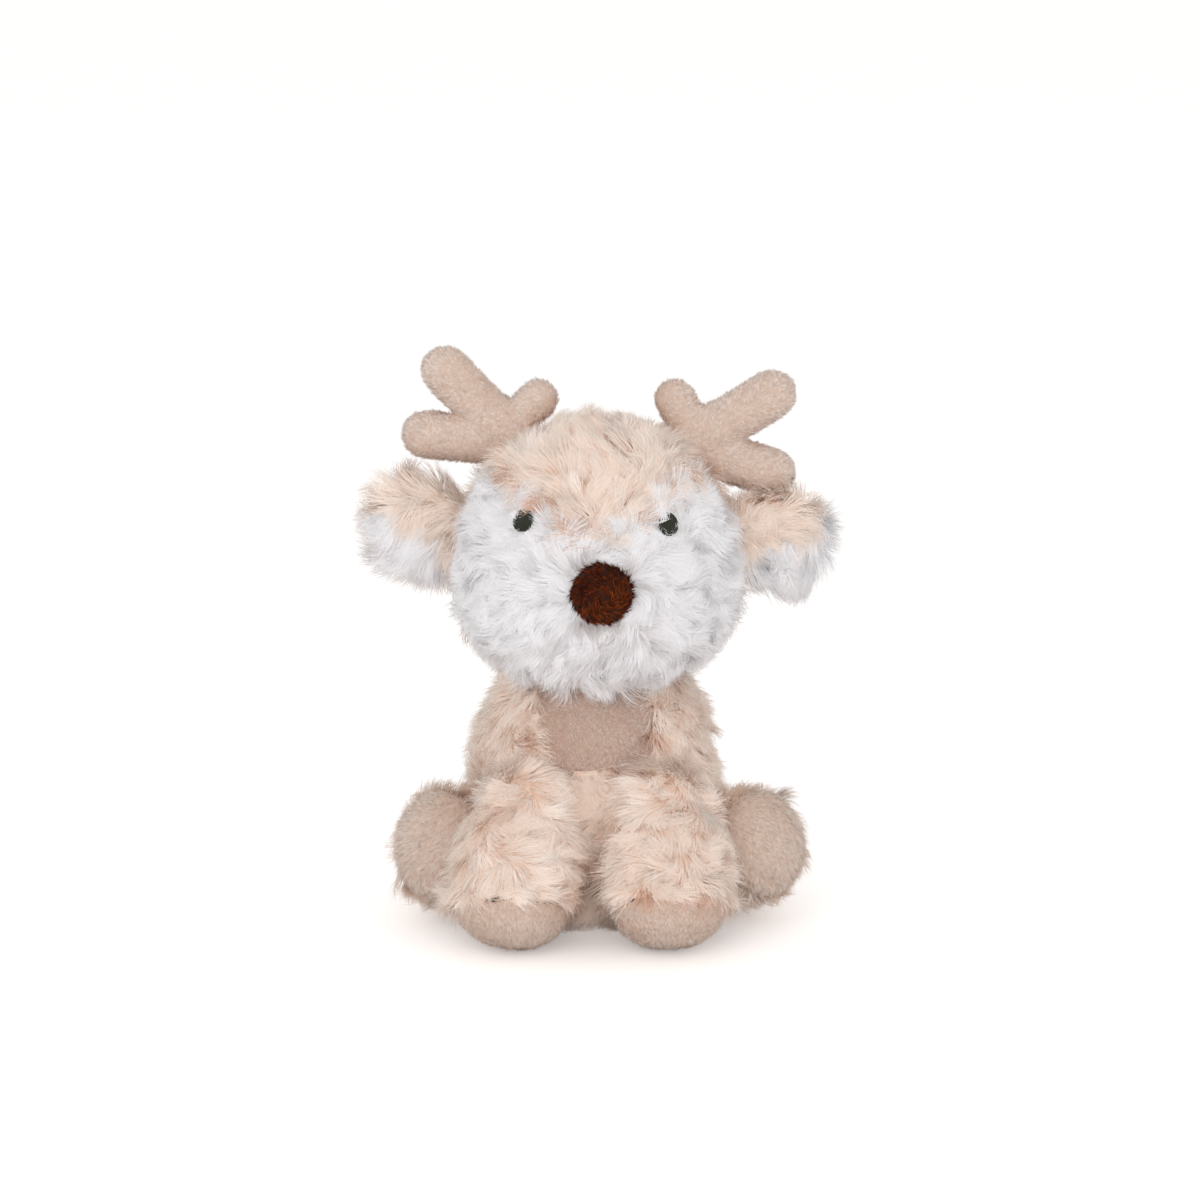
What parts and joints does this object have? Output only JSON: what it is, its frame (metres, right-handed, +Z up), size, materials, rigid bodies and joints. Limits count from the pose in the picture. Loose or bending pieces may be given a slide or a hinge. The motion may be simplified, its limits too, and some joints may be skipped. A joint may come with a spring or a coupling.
{
  "type": "sitting plush reindeer",
  "caption": "Small sitting plush reindeer in long pile with a white face, padded nose, stuffed antlers, leaf ears, front legs, splayed hind legs and a short tail, all sewn on at their roots.",
  "frame": {"origin": "the middle of the seat, on the surface that the toy sits on", "axes": "+Z up, -Y the way the toy faces, +X the toy's own left"},
  "size_m": [0.1298, 0.1087, 0.168],
  "materials": {
    "long_pile": "matte",
    "white_pile": "matte",
    "short_pile": "matte",
    "chest_pile": "matte",
    "nose_pile": "matte",
    "eye_thread": "satin",
    "fibre": "matte",
    "bag_cloth": "matte"
  },
  "bodies": {
    "body": {"body_cover": "long_pile", "chest_panel": "chest_pile", "body_filling": "fibre", "pellet_bag": "bag_cloth"},
    "neck": {"neck_gusset": "bag_cloth"},
    "head": {"head_cover": "long_pile", "face_mask": "white_pile", "head_filling": "fibre", "nose": "nose_pile", "eye_left": "eye_thread", "eye_right": "eye_thread"},
    "ear_left": {"ear_back_left": "long_pile", "ear_lining_left": "white_pile"},
    "ear_right": {"ear_back_right": "long_pile", "ear_lining_right": "white_pile"},
    "antler_left": {"antler_cover_left": "short_pile", "antler_filling_left": "fibre"},
    "antler_right": {"antler_cover_right": "short_pile", "antler_filling_right": "fibre"},
    "front_leg_left": {"front_leg_cover_left": "long_pile", "front_paw_left": "short_pile", "front_leg_filling_left": "fibre"},
    "front_leg_right": {"front_leg_cover_right": "long_pile", "front_paw_right": "short_pile", "front_leg_filling_right": "fibre"},
    "hind_leg_left": {"hind_leg_cover_left": "long_pile", "hind_sole_left": "short_pile", "hind_leg_filling_left": "fibre"},
    "hind_leg_right": {"hind_leg_cover_right": "long_pile", "hind_sole_right": "short_pile", "hind_leg_filling_right": "fibre"},
    "tail": {"tail": "long_pile"}
  },
  "joints": [
    {"name": "neck_turn", "type": "hinge", "parent": "body", "child": "neck", "pos_m": [0, 0, 0.067], "axis": [0, 0, 1], "range_deg": [-40, 40], "stiffness_Nm_per_rad": 0.05},
    {"name": "neck_nod", "type": "hinge", "parent": "neck", "child": "head", "pos_m": [0, 0, 0.067], "axis": [1, 0, 0], "range_deg": [-25, 12], "stiffness_Nm_per_rad": 0.15},
    {"name": "ear_fold_left", "type": "hinge", "parent": "head", "child": "ear_left", "pos_m": [0.03845, -0.00098, 0.1127], "axis": [0.0209, 0, 0.9998], "range_deg": [-25, 25], "stiffness_Nm_per_rad": 0.01},
    {"name": "ear_fold_right", "type": "hinge", "parent": "head", "child": "ear_right", "pos_m": [-0.03651, 0.00098, 0.11428], "axis": [-0.0209, 0, -0.9998], "range_deg": [-25, 25], "stiffness_Nm_per_rad": 0.01},
    {"name": "antler_bend_left", "type": "hinge", "parent": "head", "child": "antler_left", "pos_m": [0.02658, 0.00234, 0.13896], "axis": [0.9994, -0.0262, -0.0209], "range_deg": [-20, 20], "stiffness_Nm_per_rad": 0.015},
    {"name": "antler_bend_right", "type": "hinge", "parent": "head", "child": "antler_right", "pos_m": [-0.02339, 0.00365, 0.14001], "axis": [0.9994, -0.0262, -0.0209], "range_deg": [-20, 20], "stiffness_Nm_per_rad": 0.015},
    {"name": "front_leg_swing_left", "type": "hinge", "parent": "body", "child": "front_leg_left", "pos_m": [0.02, -0.033, 0.03917], "axis": [-1, 0, 0], "range_deg": [0, 70], "stiffness_Nm_per_rad": 0.06},
    {"name": "front_leg_swing_right", "type": "hinge", "parent": "body", "child": "front_leg_right", "pos_m": [-0.02, -0.033, 0.03899], "axis": [-1, 0, 0], "range_deg": [0, 70], "stiffness_Nm_per_rad": 0.06},
    {"name": "hind_leg_splay_left", "type": "hinge", "parent": "body", "child": "hind_leg_left", "pos_m": [0.0335, 0.006, 0.01442], "axis": [0, 0, 1], "range_deg": [0, 35], "stiffness_Nm_per_rad": 0.06},
    {"name": "hind_leg_splay_right", "type": "hinge", "parent": "body", "child": "hind_leg_right", "pos_m": [-0.0335, 0.006, 0.01442], "axis": [0, 0, -1], "range_deg": [0, 35], "stiffness_Nm_per_rad": 0.06},
    {"name": "tail_lift", "type": "hinge", "parent": "body", "child": "tail", "pos_m": [0, 0.0305, 0.022], "axis": [1, 0, 0], "range_deg": [-20, 12], "stiffness_Nm_per_rad": 0.01}
  ]
}
